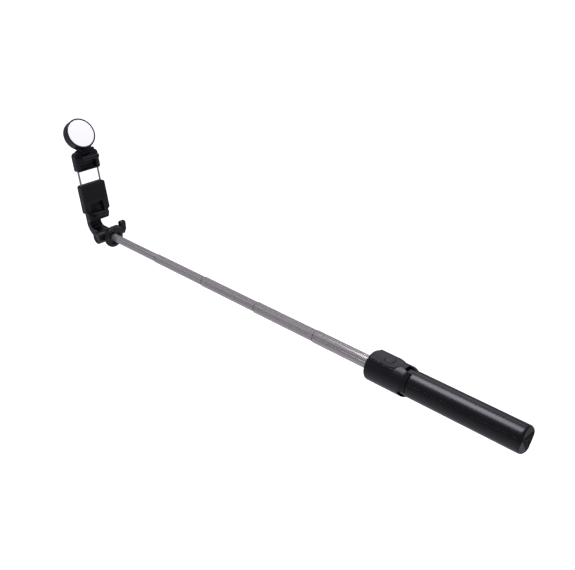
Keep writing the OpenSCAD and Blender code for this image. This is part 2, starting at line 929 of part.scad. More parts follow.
// Disc over the bolt's head, with a spigot in the boss
module bolt_cap() {
    color(satin_black)
    at_hinge() {
        rod_x(boss_x - cap_t / 2, cap_t / 2, cap_r);
        rod_x(boss_x - cap_t / 2, cap_t / 2 + cap_t, bolt_head_r + seat_gap - snug_fit);
    }
}

module tilt_washer() {
    color(nylon)
    at_hinge()
    difference() {
        rod_x(cheek_x, washer_t, washer_r);
        rod_x(cheek_x - cut, washer_t + 2 * cut, bolt_r + snug_fit);
    }
}

module wing_knob() {
    root = paddle_w / 2;
    tip = 0.86 * root;
    color(satin_black)
    at_hinge()
    difference() {
        union() {
            rod_x(knob_x, knob_len, knob_r);
            run_x(paddle_x, paddle_t)
                polygon(rounded([
                    [-root, -root / 2, 1.5],
                    [root, -root / 2, 1.5],
                    [tip, paddle_h, 1.8],
                    [-tip, paddle_h, 1.8]
                ]));
        }
        rod_x(knob_x - cut, knob_len + cut - 0.6, bolt_r + running_fit);
    }
}

module pivot_screw() {
    color(steel)
    in_clamp() translate([0, 0, pivot_p]) {
        rod_y(back_q - nut_t - 0.4, arm_rear_q - back_q + nut_t + 0.4, pivot_r);
        rod_y(arm_rear_q - pivot_head_t, pivot_head_t, pivot_head_r);
    }
}

module pivot_nut() {
    color(steel)
    in_clamp() translate([0, 0, pivot_p])
    difference() {
        rod_y(back_q - nut_t - 0.1, nut_t, nut_r);
        rod_y(back_q - nut_t - cut, nut_t + 2 * cut, pivot_r + snug_fit);
    }
}

module pivot_washer() {
    color(rubber_black)
    in_clamp() translate([0, 0, pivot_p])
    difference() {
        rod_y(arm_q - turn_washer_t, turn_washer_t, turn_boss_r - 1);
        rod_y(arm_q - turn_washer_t - cut, turn_washer_t + 2 * cut, pivot_r + snug_fit);
    }
}

module body_outline() {
    half = body_w / 2;
    low = body_low_w / 2;
    polygon(rounded([
        [-low, -body_drop, 3], [low, -body_drop, 3],
        [low, 0, 1], [half, half - low, 1],
        [half, body_top, 3], [-half, body_top, 3],
        [-half, half - low, 1], [-low, 0, 1]
    ]));
}

// Room for a claw: its plate folded flat, and deeper for its lip
module claw_pocket(width) {
    room = width / 2 + swing_gap;
    lip_p = claw_p + claw_len - lip_t;
    box([-room, body_q - cut, pocket_low], [room, pocket_q, pocket_top]);
    box(
        [-room, body_q - cut, lip_p - swing_gap],
        [room, pocket_q + lip_h, lip_p + lip_t + swing_gap]
    );
}

// A claw's pin, or its hole when grown by a fit
module claw_pin(width, fit) {
    half = width / 2 + claw_pin_hold;
    translate([0, claw_q, claw_p]) rod_x(-half, 2 * half, claw_pin_r + fit);
}

module at_back_screws() {
    both_sides()
        for (p = back_screw_ps) translate([back_screw_x, 0, p]) children();
}

module at_rods() {
    both_sides() translate([rod_x_at, rod_q, 0]) children();
}

module holder_body() {
    color(satin_black)
    in_clamp()
    difference() {
        run_y(body_q, body_depth) body_outline();
        claw_pocket(lower_claw_w);
        claw_pin(lower_claw_w, snug_fit);
        translate([0, 0, pivot_p]) rod_y(body_q + nut_room, body_depth, nut_r + seat_gap);
        at_rods() {
            box([-spring_room, -spring_room, spring_low], [spring_room, body_depth, spring_top]);
            translate([0, 0, spring_top - cut]) cylinder(h = spring_wall + 2 * cut, r = rod_r + running_fit);
        }
        at_back_screws() rod_y(back_q - back_screw_len, back_screw_len + cut, back_screw_r + snug_fit);
    }
}

module holder_back() {
    color(satin_black)
    in_clamp()
    difference() {
        union() {
            run_y(back_q, back_t) body_outline();
            translate([0, 0, pivot_p]) rod_y(back_q, back_t + turn_boss_len, turn_boss_r);
        }
        translate([0, 0, pivot_p])
            rod_y(back_q - cut, back_t + turn_boss_len + 2 * cut, pivot_r + running_fit);
        at_back_screws() {
            rod_y(back_q - cut, back_t + 2 * cut, back_screw_r + snug_fit);
            rod_y(rear_q - back_screw_head_t, back_screw_head_t + cut, back_screw_head_r + snug_fit);
        }
    }
}

module back_screws() {
    color(steel)
    in_clamp() at_back_screws() {
        rod_y(back_q - back_screw_len, back_screw_len + back_t, back_screw_r);
        rod_y(rear_q - back_screw_head_t, back_screw_head_t, back_screw_head_r);
    }
}

// A claw: knuckle, plate and front lip
module claw(width) {
    half = width / 2;
    difference() {
        union() {
            translate([0, claw_q, claw_p]) rod_x(-half, width, claw_knuckle_r);
            run_x(-half, width)
                polygon(rounded([
                    [claw_q, -pad_t - claw_t, 0],
                    [claw_q, -pad_t, 0],
                    [lip_t - claw_reach, -pad_t, 0],
                    [lip_t - claw_reach, lip_h, 0.8],
                    [-claw_reach, lip_h, 0.8],
                    [-claw_reach, -pad_t - claw_t, 1.4]
                ]));
        }
        claw_pin(width, running_fit);
    }
}

module claw_pad(width) {
    half = width / 2 - pad_inset;
    box([-half, lip_t - claw_reach, -pad_t], [half, claw_q - pad_root, 0]);
}

module lower_pin() { color(steel) in_clamp() claw_pin(lower_claw_w, 0); }

module lower_claw() { color(satin_black) in_clamp() claw(lower_claw_w); }

module lower_pad() { color(rubber_black) in_clamp() claw_pad(lower_claw_w); }

module upper_pin() { color(steel) in_clamp() upside() claw_pin(upper_claw_w, 0); }

module upper_claw() { color(satin_black) in_clamp() upside() claw(upper_claw_w); }

module upper_pad() { color(rubber_black) in_clamp() upside() claw_pad(upper_claw_w); }

// One unbroken wire wound from height low to height high
module coil(low, high) {
    rings = 8 * spring_turns;
    sides = 6;
    rise = high - low - 2 * wire_r;
    points = [for (i = [0 : rings], j = [0 : sides - 1])
        let (
            turn = 360 * spring_turns * i / rings,
            side = 360 * j / sides,
            out = coil_r + wire_r * cos(side)
        )
        [out * cos(turn), out * sin(turn), low + wire_r + rise * i / rings + wire_r * sin(side)]];
    skin = [for (i = [0 : rings - 1], j = [0 : sides - 1])
        let (a = i * sides + j, b = i * sides + (j + 1) % sides)
        each [[a, b + sides, b], [a, a + sides, b + sides]]];
    first_cap = [for (j = [1 : sides - 2]) [0, j, j + 1]];
    last = rings * sides;
    last_cap = [for (j = [1 : sides - 2]) [last, last + j + 1, last + j]];
    polyhedron(points = points, faces = concat(skin, first_cap, last_cap));
}

module clamp_springs() {
    color(steel)
    in_clamp() at_rods()
        coil(flange_p + flange_t + coil_end_gap, spring_top - coil_end_gap);
}

module guide_rods() {
    color(steel)
    in_clamp() at_rods() {
        translate([0, 0, flange_p]) cylinder(h = rod_top - flange_p, r = rod_r);
        translate([0, 0, flange_p]) cylinder(h = flange_t, r = flange_r);
    }
}

// Ears and pin of the lamp's hinge, on top of the jaw
module lamp_ear() {
    inner = lamp_knuckle_w / 2 + seat_gap;
    translate([0, lamp_q, lamp_p]) {
        rod_x(inner, lamp_ear_t, lamp_ear_r);
        box([inner, -lamp_ear_r + 0.4, jaw_top_p - lamp_p - cut], [inner + lamp_ear_t, lamp_ear_r - 0.4, 0]);
    }
}

module jaw_outline() {
    half = jaw_w / 2;
    polygon(rounded([
        [-half, jaw_bottom, 3], [half, jaw_bottom, 3],
        [half, jaw_top_p, 5], [-half, jaw_top_p, 5]
    ]));
}

module upper_jaw() {
    inner = lamp_knuckle_w / 2 + seat_gap;
    color(satin_black)
    in_clamp()
    difference() {
        union() {
            run_y(body_q, body_depth + back_t) jaw_outline();
            both_sides() lamp_ear();
        }
        upside() {
            claw_pocket(upper_claw_w);
            claw_pin(upper_claw_w, snug_fit);
        }
        at_rods()
            translate([0, 0, jaw_bottom - cut]) cylinder(h = rod_top - jaw_bottom + cut, r = rod_r + snug_fit);
        translate([0, lamp_q, lamp_p]) {
            rod_x(-inner, 2 * inner, lamp_knuckle_r + swing_gap);
            rod_x(-inner - lamp_ear_t + 0.8, 2 * (inner + lamp_ear_t - 0.8), lamp_pin_r + snug_fit);
        }
    }
}

module lamp_pin() {
    half = lamp_knuckle_w / 2 + seat_gap + lamp_ear_t - 0.8;
    color(steel)
    in_clamp() translate([0, lamp_q, lamp_p]) rod_x(-half, 2 * half, lamp_pin_r);
}

// Cup of the lamp: seats for the diffuser and the board, and a neck down to the hinge
module lamp_housing() {
    rim = lamp_face + bezel_t;
    color(satin_black)
    difference() {
        union() {
            on_lamp_axis() turn_y(0)
                polygon(rounded([[0, rim, 0], [lamp_r, rim, 0], [lamp_r, lamp_back, 3], [0, lamp_back, 0]]));
            in_lamp() {
                rod_x(-lamp_knuckle_w / 2, lamp_knuckle_w, lamp_knuckle_r);
                run_x(-lamp_knuckle_w / 2, lamp_knuckle_w)
                    polygon([
                        [-0.9 * lamp_knuckle_r, 0],
                        [0.9 * lamp_knuckle_r, 0],
                        [lamp_back - 1, neck_h],
                        [lamp_face + 2, neck_h]
                    ]);
            }
        }
        on_lamp_axis() turn_y(0)
            polygon([
                [0, lamp_face - cut],
                [lamp_r - bezel_w, lamp_face - cut],
                [lamp_r - bezel_w, diffuser_seat],
                [seat_r, diffuser_seat],
                [seat_r, ledge_y],
                [ledge_r, ledge_y],
                [ledge_r, lamp_back - lamp_wall],
                [0, lamp_back - lamp_wall]
            ]);
        in_lamp() rod_x(-lamp_knuckle_w, 2 * lamp_knuckle_w, lamp_pin_r + running_fit);
        on_lamp_axis() translate([0, 0, switch_rise])
            rod_y(lamp_back - lamp_wall - cut, lamp_wall + 2 * cut, switch_cap_r + button_gap);
    }
}

module lamp_bezel() {
    color(gloss_black)
    on_lamp_axis() turn_y(lamp_face)
        polygon(rounded([
            [lamp_r - bezel_w, 0, 0.4],
            [lamp_r, 0, 0.8],
            [lamp_r, bezel_t, 0],
            [lamp_r - bezel_w, bezel_t, 0]
        ]));
}

// White disc, domed a little at its front
module lamp_diffuser() {
    edge = lamp_r - bezel_w - seat_gap;
    thick = diffuser_seat - lamp_face;
    dome_r = (edge * edge + diffuser_dome * diffuser_dome) / (2 * diffuser_dome);
    dome_turn = asin(edge / dome_r);
    front = [for (p = arc([0, dome_r - diffuser_dome], dome_r, 270, 270 + dome_turn, 2 * arc_steps)) p];
    color(diffuser_white)
    on_lamp_axis() turn_y(lamp_face) polygon(concat([[0, thick]], front, [[edge, thick]]));
}

module lamp_board() {
    color(board_green)
    on_lamp_axis() rod_y(ledge_y - led_board_t, led_board_t, seat_r - seat_gap);
}

module lamp_leds() {
    color("khaki")
    on_lamp_axis()
    for (i = [0 : led_count - 1])
        rotate([0, i * 360 / led_count, 0])
            translate([0, 0, led_ring_r])
                box(
                    [-led_w / 2, ledge_y - led_board_t - led_t, -led_w / 2],
                    [led_w / 2, ledge_y - led_board_t, led_w / 2]
                );
}

module lamp_battery() {
    color("lightsteelblue")
    on_lamp_axis()
        translate([-battery.x / 2, lamp_back - lamp_wall - battery.y, -battery.z / 2 - battery_drop])
            cube(battery);
}

module lamp_switch() {
    inner = lamp_back - lamp_wall;
    color(nylon)
    on_lamp_axis() translate([0, 0, switch_rise]) {
        rod_y(inner - switch_flange_t, lamp_wall + switch_flange_t + switch_proud, switch_cap_r);
        rod_y(inner - switch_flange_t, switch_flange_t, switch_flange_r);
    }
}

handle_head();
guide_tube();
guide_plug();
leg_pins();
leg(0);  // leg_top
leg(1);  // leg_left
leg(2);  // leg_right
foot(0);  // foot_top
foot(1);  // foot_left
foot(2);  // foot_right
remote_tray();
remote_cover();
remote_board();
remote_cell();
remote_switch();
shutter_button();
tube(1);  // tube_1
tube(2);  // tube_2
tube(3);  // tube_3
tube(4);  // tube_4
tube(5);  // tube_5
bush(1);  // bush_1
bush(2);  // bush_2
bush(3);  // bush_3
bush(4);  // bush_4
bush(5);  // bush_5
tip_post();
swivel_collar();
tilt_base();
swivel_screws();
tilt_arm();
tilt_bolt();
bolt_cap();
tilt_washer();
wing_knob();
pivot_screw();
pivot_nut();
pivot_washer();
holder_body();
holder_back();
back_screws();
lower_pin();
lower_claw();
lower_pad();
clamp_springs();
upper_jaw();
guide_rods();
upper_pin();
lamp_pin();
upper_claw();
upper_pad();
lamp_housing();
lamp_bezel();
lamp_diffuser();
lamp_board();
lamp_leds();
lamp_battery();
lamp_switch();
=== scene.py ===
"""Looks of the telescopic selfie stick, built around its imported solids. Metres, in the solids' frame."""
import json
import math

import bmesh
import bpy
import numpy as np
from mathutils import Matrix, Vector


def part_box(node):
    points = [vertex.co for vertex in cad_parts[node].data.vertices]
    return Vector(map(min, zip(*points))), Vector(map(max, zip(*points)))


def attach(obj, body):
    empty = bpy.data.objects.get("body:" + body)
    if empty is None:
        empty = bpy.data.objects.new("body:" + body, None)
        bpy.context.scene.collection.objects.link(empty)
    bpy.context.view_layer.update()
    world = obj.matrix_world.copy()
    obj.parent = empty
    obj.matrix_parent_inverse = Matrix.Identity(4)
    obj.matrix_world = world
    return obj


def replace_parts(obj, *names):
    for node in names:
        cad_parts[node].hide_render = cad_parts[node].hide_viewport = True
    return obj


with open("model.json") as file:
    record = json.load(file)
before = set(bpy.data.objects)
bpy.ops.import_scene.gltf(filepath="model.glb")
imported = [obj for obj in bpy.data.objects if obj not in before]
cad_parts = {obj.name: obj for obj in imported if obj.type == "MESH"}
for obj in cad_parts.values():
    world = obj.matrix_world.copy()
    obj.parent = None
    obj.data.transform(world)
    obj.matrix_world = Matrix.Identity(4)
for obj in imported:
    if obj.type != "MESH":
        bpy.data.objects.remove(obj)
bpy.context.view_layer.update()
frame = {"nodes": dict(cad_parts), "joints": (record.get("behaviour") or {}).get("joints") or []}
joints = {joint["name"]: joint for joint in frame["joints"]}
nodes = frame["nodes"]

MM = 0.001
TURN = 2 * math.pi

# Camera: place and axes in the solids' frame, lens and shift for a picture 575 pixels wide
FRAME_WIDTH = 575
FOCAL_PIXELS = 820
SENSOR_WIDTH = 36
PICTURE_MOVE = (0.33, 0.73)
CAMERA_AT = (-0.5493, -0.29225, 0.4540)
CAMERA_RIGHT = (0.6865, -0.7255, 0.0047)
CAMERA_FORWARD = (0.6405, 0.6030, -0.4770)

# Places and sizes that the new pieces share with the solids, in millimetres

# Remote: radius of its crowned top, across the stick
CROWN_R = 55.9

# Tubes: what each section shows, the widest radius, the step to the next one, and the flutes
REVEAL = 87.5
TUBE_R = 7.08
TUBE_STEP = 0.54
FLUTES = 6
FLUTE_AT = 7.48
FLUTE_DEPTH = 0.4

# Foot pads, as (across, out) from the stick's axis: inner tip, side corner and end of the outer chord
PAD_TIP = 0.5
PAD_SIDE = (8.09, 5.17)
PAD_CHORD = (7.33, 6.2)
PAD_DEPTH = 1.4

# Tilt hinge: its axis along the stick
HINGE_Y = joints["arm_tilt"]["pos_m"][1] / MM

# Clamp: lean, origin ahead of the tilt axis and up from it, opening, then places up, across and through it
CLAMP_LEAN = math.radians(10)
CLAMP_AHEAD = 7.5
CLAMP_RISE = 28
CLAMP_OPEN = 73.3
PIVOT_P = 22
COVER_SCREW_P = (33, -8.3)
COVER_SCREW_X = 8.5
BODY_Q = 9
BACK_Q = 16
REAR_Q = 17.6
ARM_REAR_Q = 29

# Lamp: lean, centre above its hinge, radius, front and back faces, and the switch above the centre
LAMP_LEAN = math.radians(32)
LAMP_RISE = 20.3
LAMP_R = 19.5
LAMP_FACE = -9.5
LAMP_BACK = 3.5
SWITCH_UP = 9.5


# Frames: each gives the part's frame from its own (across, along, up) millimetres

def stick_frame(points):
    """The part's own axes, scaled to metres."""
    return np.asarray(points, float) * MM


def clamp_frame(points):
    """Across, away from the user and up the clamp: a turn about X by the clamp's lean, then a shift."""
    x, q, p = np.moveaxis(np.asarray(points, float), -1, 0)
    cos, sin = math.cos(CLAMP_LEAN), math.sin(CLAMP_LEAN)
    along, up = HINGE_Y + CLAMP_AHEAD + q * cos + p * sin, CLAMP_RISE - q * sin + p * cos
    return np.stack([x, along, up], -1) * MM


def lamp_frame(points):
    """Across, away from the user and up the lamp, from the lamp's own centre: a turn about X by the lamp's
    lean, then a shift to its hinge."""
    x, y, z = np.moveaxis(np.asarray(points, float), -1, 0)
    cos, sin = math.cos(LAMP_LEAN), math.sin(LAMP_LEAN)
    z = z + LAMP_RISE
    leaned = np.stack([x, y * cos + z * sin, -y * sin + z * cos], -1) * MM
    return leaned + np.array(joints["lamp_tilt"]["pos_m"])


# Surfaces on a grid

def skin(name, grid, body, material, loop_u=True, loop_v=False, crease=35):
    """Quads between the neighbours of a (u, v, 3) grid, closed along u and along v where asked.
    Rows that shrink to a point are merged into poles, and the faces are turned outwards."""
    rows, columns = grid.shape[:2]
    index = np.arange(rows * columns).reshape(rows, columns)
    if loop_u:
        index = np.concatenate([index, index[:1]], 0)
    if loop_v:
        index = np.concatenate([index, index[:, :1]], 1)
    corners = [index[:-1, :-1], index[1:, :-1], index[1:, 1:], index[:-1, 1:]]
    quads = np.stack(corners, -1).reshape(-1, 4)
    mesh = bpy.data.meshes.new(name)
    mesh.from_pydata(grid.reshape(-1, 3), [], quads.tolist())
    work = bmesh.new()
    work.from_mesh(mesh)
    bmesh.ops.remove_doubles(work, verts=work.verts, dist=1e-7)
    bmesh.ops.dissolve_degenerate(work, edges=work.edges, dist=1e-8)
    bmesh.ops.recalc_face_normals(work, faces=work.faces)
    work.to_mesh(mesh)
    work.free()
    mesh.polygons.foreach_set("use_smooth", np.ones(len(mesh.polygons), bool))
    mesh.set_sharp_from_angle(angle=math.radians(crease))
    piece = bpy.data.objects.new(name, mesh)
    bpy.context.scene.collection.objects.link(piece)
    mesh.materials.append(MATERIALS[material])
    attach(piece, body)
    return piece


def turned(profile, steps=96):
    """Surface of revolution: a (radius, height) profile carried round, as (side, side, height)."""
    radius, height = np.asarray(profile, float).T
    angle = np.linspace(0, TURN, steps, endpoint=False)[:, None]
    return np.stack([radius * np.cos(angle), radius * np.sin(angle), height + 0 * angle], -1)


def quarter(centre, radius, steps=6):
    """Points of a quarter circle about a centre, from its right to its top."""
    angle = np.radians(np.linspace(0, 90, steps + 1))
    return np.asarray(centre) + radius * np.stack([np.cos(angle), np.sin(angle)], -1)


def quarter_down(centre, radius):
    """The quarter circle from its right to its foot: the one above, mirrored at the centre's height."""
    return quarter(centre, radius) * (1, -1) + (0, 2 * centre[1])


def inward(steps):
    """Shares of a radius from just inside a rim (1) to the middle (0)."""
    return np.linspace(1, 0, steps + 1)[1:]


def rounded_outline(corners, steps=6):
    """A counter-clockwise outline of (x, y, radius) corners, each replaced by its arc."""
    corners = np.asarray(corners, float)
    arcs = []
    for before, here, after in zip(np.roll(corners, 1, 0), corners, np.roll(corners, -1, 0)):
        u, v = before[:2] - here[:2], after[:2] - here[:2]
        u, v = u / np.linalg.norm(u), v / np.linalg.norm(v)
        half = math.acos(np.clip(u @ v, -1, 1)) / 2
        middle = u + v
        centre = here[:2] + middle / np.linalg.norm(middle) * here[2] / math.sin(half)
        first = here[:2] + u * here[2] / math.tan(half) - centre
        angle = math.atan2(first[1], first[0]) + np.linspace(0, math.pi - 2 * half, steps + 1)
        arcs.append(centre + here[2] * np.stack([np.cos(angle), np.sin(angle)], -1))
    return np.concatenate(arcs)


def carried(outline, low, high, edge, steps=5):
    """An outline carried along X from low to high, closed at both ends and drawn in there
    by a quarter circle."""
    outline = np.asarray(outline, float)
    middle = (outline.max(0) + outline.min(0)) / 2
    reach = (outline.max(0) - outline.min(0)).min() / 2
    turn = np.radians(np.linspace(0, 90, steps + 1))
    shrink = np.concatenate([[0], 1 - edge / reach * (1 - np.sin(turn))])
    along = np.concatenate([[0], edge * (1 - np.cos(turn))])
    scale = np.concatenate([shrink, shrink[::-1]])[:, None, None]
    place = np.concatenate([low + along, (high - along)[::-1]])
    section = middle + (outline - middle) * scale
    return np.concatenate([np.broadcast_to(place[:, None, None], section.shape[:2] + (1,)), section], -1)


# Shader nodes

def put(tree, kind, inputs=None, **settings):
    """Adds one shader node, with its settings, and fills its inputs with constants or links."""
    node = tree.nodes.new(kind)
    for name, value in settings.items():
        setattr(node, name, value)
    for key, value in (inputs or {}).items():
        fill(tree, node.inputs[key], value)
    return node


def fill(tree, socket, value):
    """Links another node's output to a socket, or sets a constant on it."""
    if isinstance(value, bpy.types.NodeSocket):
        tree.links.new(value, socket)
    else:
        socket.default_value = value


def colour(red, green, blue):
    """A linear colour, opaque."""
    return (red, green, blue, 1.0)


def math_node(tree, operation, first, second=0.0, third=0.0):
    """Result of one Math operation."""
    return put(tree, "ShaderNodeMath", {0: first, 1: second, 2: third}, operation=operation).outputs[0]


def spread(tree, value, low, high):
    """Carries a value between 0 and 1 to the range from low to high."""
    return put(tree, "ShaderNodeMapRange", {"Value": value, "To Min": low, "To Max": high}).outputs[0]


def step_between(tree, value, none, full):
    """Mask that goes from 0 to 1 while a value goes from none to full."""
    return put(tree, "ShaderNodeMapRange", {"Value": value, "From Min": none, "From Max": full}).outputs[0]


def stretched(tree, vector, scale):
    """Coordinates scaled on each axis, so that a pattern is drawn out where the scale is small."""
    return put(tree, "ShaderNodeMapping", {"Vector": vector, "Scale": scale}).outputs[0]


def noise(tree, vector, scale, detail=3.0, roughness=0.55):
    """Value of a fractal noise."""
    inputs = {"Vector": vector, "Scale": scale, "Detail": detail, "Roughness": roughness}
    return put(tree, "ShaderNodeTexNoise", inputs).outputs["Fac"]


def blend_colour(tree, factor, first, second):
    """Mix of two colours by a factor."""
    node = put(tree, "ShaderNodeMix", data_type="RGBA")
    for key, value in (("Factor", factor), (6, first), (7, second)):
        fill(tree, node.inputs[key], value)
    return node.outputs[2]


# Effects that several materials share

def new_group(name, inputs, outputs):
    """An empty node group with float or vector sockets; returns it with its two end nodes."""
    kinds = {"f": "NodeSocketFloat", "v": "NodeSocketVector"}
    group = bpy.data.node_groups.new(name, "ShaderNodeTree")
    for label, kind in inputs:
        group.interface.new_socket(label, in_out="INPUT", socket_type=kinds[kind])
    for label, kind in outputs:
        group.interface.new_socket(label, in_out="OUTPUT", socket_type=kinds[kind])
    return group, group.nodes.new("NodeGroupInput"), group.nodes.new("NodeGroupOutput")


def make_moulded_grain():
    """Spark-eroded mould texture: fine pits on a rolling noise, and a slow change of tone."""
    pit_share, slowness = 0.6, 0.02
    group, given, result = new_group("moulded grain", [("Vector", "v"), ("Scale", "f")],
                                     [("Height", "f"), ("Tone", "f")])
    vector, scale = given.outputs["Vector"], given.outputs["Scale"]
    fine = noise(group, vector, scale, detail=4.0, roughness=0.6)
    pits = put(group, "ShaderNodeTexVoronoi", {"Vector": vector, "Scale": scale}, feature="SMOOTH_F1")
    height = math_node(group, "MULTIPLY_ADD", pits.outputs["Distance"], pit_share, fine)
    slow = noise(group, vector, math_node(group, "MULTIPLY", scale, slowness), detail=2.0)
    group.links.new(height, result.inputs["Height"])
    group.links.new(slow, result.inputs["Tone"])
    return group


def make_handling_marks():
    """Wear from hands: soft smears and thin scratches along the stick, as two masks."""
    group, given, result = new_group("handling marks", [("Vector", "v"), ("Amount", "f")],
                                     [("Smear", "f"), ("Scratch", "f")])
    vector, amount = given.outputs["Vector"], given.outputs["Amount"]
    smear = noise(group, stretched(group, vector, (1.0, 0.4, 1.0)), 60.0, detail=5.0, roughness=0.65)
    lines = noise(group, stretched(group, vector, (1.0, 0.03, 1.0)), 1500.0, detail=2.0)
    scratch = step_between(group, lines, 0.66, 0.74)
    group.links.new(math_node(group, "MULTIPLY", smear, amount), result.inputs["Smear"])
    group.links.new(math_node(group, "MULTIPLY", scratch, amount), result.inputs["Scratch"])
    return group


def make_drawn_lines():
    """Die lines of drawn metal: noise stretched a hundredfold along the stick, as a height and a tone."""
    coarseness = 0.25
    group, given, result = new_group("drawn lines", [("Vector", "v"), ("Scale", "f")],
                                     [("Height", "f"), ("Tone", "f")])
    along = stretched(group, given.outputs["Vector"], (1.0, 0.01, 1.0))
    scale = given.outputs["Scale"]
    coarse = math_node(group, "MULTIPLY", scale, coarseness)
    group.links.new(noise(group, along, scale, detail=4.0, roughness=0.7), result.inputs["Height"])
    group.links.new(noise(group, along, coarse, detail=2.0), result.inputs["Tone"])
    return group


GRAIN = make_moulded_grain()
MARKS = make_handling_marks()
LINES = make_drawn_lines()


# Materials

MATERIALS = {}
BEVEL_SAMPLES = 6


def new_finish(slot):
    """A material for one of the part's finishes: its tree, its shader and its Object coordinates."""
    material = bpy.data.materials.new(slot)
    material.use_nodes = True
    tree = material.node_tree
    shader = tree.nodes["Principled BSDF"]
    coordinates = put(tree, "ShaderNodeTexCoord").outputs["Object"]
    MATERIALS[slot] = material
    return tree, shader, coordinates


def effect(tree, group, vector, **values):
    """Places a shared effect in a material, with its own values, and gives its outputs."""
    return put(tree, "ShaderNodeGroup", {"Vector": vector, **values}, node_tree=group).outputs


def relief(tree, shader, height, depth, edge):
    """Bump of a depth in metres, over edges that are softened by a small radius."""
    soft = put(tree, "ShaderNodeBevel", {"Radius": edge}, samples=BEVEL_SAMPLES)
    bump = put(tree, "ShaderNodeBump", {"Height": height, "Distance": depth, "Strength": 1.0,
                                        "Normal": soft.outputs[0]})
    tree.links.new(bump.outputs[0], shader.inputs["Normal"])


def plastic(slot, dark, light, rough, grain_scale, depth, edge, marks):
    """Moulded plastic: tone and gloss drift over the surface, smears change the gloss, scratches are
    lighter, grain gives the relief."""
    scratch_gain, smear_dulling = 1.6, 0.12
    tree, shader, vector = new_finish(slot)
    grain = effect(tree, GRAIN, vector, Scale=grain_scale)
    worn = effect(tree, MARKS, vector, Amount=marks)
    tint = blend_colour(tree, grain["Tone"], dark, light)
    scratched = colour(*(min(1.0, scratch_gain * part) for part in light[:3]))
    tree.links.new(blend_colour(tree, worn["Scratch"], tint, scratched), shader.inputs["Base Color"])
    gloss = math_node(tree, "ADD", spread(tree, grain["Tone"], *rough),
                      math_node(tree, "MULTIPLY", worn["Smear"], smear_dulling))
    tree.links.new(gloss, shader.inputs["Roughness"])
    relief(tree, shader, grain["Height"], depth, edge)


def metal(slot, dark, light, rough, line_scale, edge, metallic=1.0, depth=1.5e-6):
    """Drawn or plated metal: lengthwise lines change the tone, the gloss and the relief."""
    tree, shader, vector = new_finish(slot)
    lines = effect(tree, LINES, vector, Scale=line_scale)
    tree.links.new(blend_colour(tree, lines["Tone"], dark, light), shader.inputs["Base Color"])
    tree.links.new(spread(tree, lines["Height"], *rough), shader.inputs["Roughness"])
    shader.inputs["Metallic"].default_value = metallic
    relief(tree, shader, lines["Height"], depth, edge)
    return shader


def silver_tube():
    """Satin silver metal with painted shade at each section's mouth: a dark band in the colour that stands
    for the shade where one section leaves the next, and that also hides the glint on the mouth's edge. The
    mouths lie one reveal apart, so the painted shade is a step in the distance along the stick to the
    nearest of them."""
    mouth_shade_half, mouth_shade_end = 0.5 * MM, 0.8 * MM
    # Colour and roughness of the painted shade at each mouth
    mouth_shade_tint, mouth_shade_rough = colour(0.1, 0.095, 0.095), 0.6
    shader = metal("silver_tube", dark=colour(0.5, 0.475, 0.45), light=colour(0.68, 0.645, 0.605),
                   rough=(0.15, 0.22), line_scale=4200, edge=1e-5, metallic=0.6)
    tree = shader.id_data
    half = REVEAL * MM / 2
    vector = put(tree, "ShaderNodeTexCoord").outputs["Object"]
    along = put(tree, "ShaderNodeSeparateXYZ", {0: vector}).outputs["Y"]
    past_mouth = math_node(tree, "SUBTRACT", along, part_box("tube_5")[1].y)
    off = math_node(tree, "ABSOLUTE", math_node(tree, "WRAP", past_mouth, half, -half))
    # Painted shade: a dark band in the base colour at each mouth, where the sections meet
    mouth_shade = step_between(tree, off, mouth_shade_end, mouth_shade_half)
    bare = shader.inputs["Base Color"].links[0].from_socket
    tree.links.new(blend_colour(tree, mouth_shade, bare, mouth_shade_tint), shader.inputs["Base Color"])
    plain = shader.inputs["Roughness"].links[0].from_socket
    dull = put(tree, "ShaderNodeMix", {"Factor": mouth_shade, 2: plain, 3: mouth_shade_rough}).outputs[0]
    tree.links.new(dull, shader.inputs["Roughness"])


def circuit_board():
    """Green solder mask: etched tracks under it as raised lines, and bare gilt lands."""
    tree, shader, vector = new_finish("circuit_board")
    tracks = put(tree, "ShaderNodeTexBrick", {"Vector": vector, "Scale": 300.0, "Mortar Size": 0.06,
                                              "Color1": colour(0, 0, 0), "Color2": colour(0.1, 0.1, 0.1),
                                              "Mortar": colour(1, 1, 1)})
    lands = put(tree, "ShaderNodeTexVoronoi", {"Vector": vector, "Scale": 380.0})
    gilt = step_between(tree, lands.outputs["Distance"], 0.26, 0.22)
    mask = blend_colour(tree, tracks.outputs["Color"], colour(0.012, 0.085, 0.036), colour(0.02, 0.14, 0.06))
    tree.links.new(blend_colour(tree, gilt, mask, colour(0.7, 0.52, 0.2)), shader.inputs["Base Color"])
    tree.links.new(gilt, shader.inputs["Metallic"])
    tree.links.new(spread(tree, gilt, 0.42, 0.28), shader.inputs["Roughness"])
    relief(tree, shader, tracks.outputs["Fac"], depth=2e-5, edge=1e-4)


def white_diffuser():
    """Opal plastic, lit: a faint cloud in its colour and its glow, and a fine frosted relief."""
    tree, shader, vector = new_finish("white_diffuser")
    frost = effect(tree, GRAIN, vector, Scale=2600)
    tint = blend_colour(tree, frost["Tone"], colour(0.84, 0.83, 0.9), colour(0.9, 0.89, 0.94))
    tree.links.new(tint, shader.inputs["Base Color"])
    tree.links.new(spread(tree, frost["Height"], 0.3, 0.42), shader.inputs["Roughness"])
    glow = blend_colour(tree, frost["Tone"], colour(0.9, 0.89, 1.0), colour(0.94, 0.93, 1.0))
    tree.links.new(glow, shader.inputs["Emission Color"])
    shader.inputs["Emission Strength"].default_value = 0.4
    relief(tree, shader, frost["Height"], depth=4e-6, edge=2e-4)


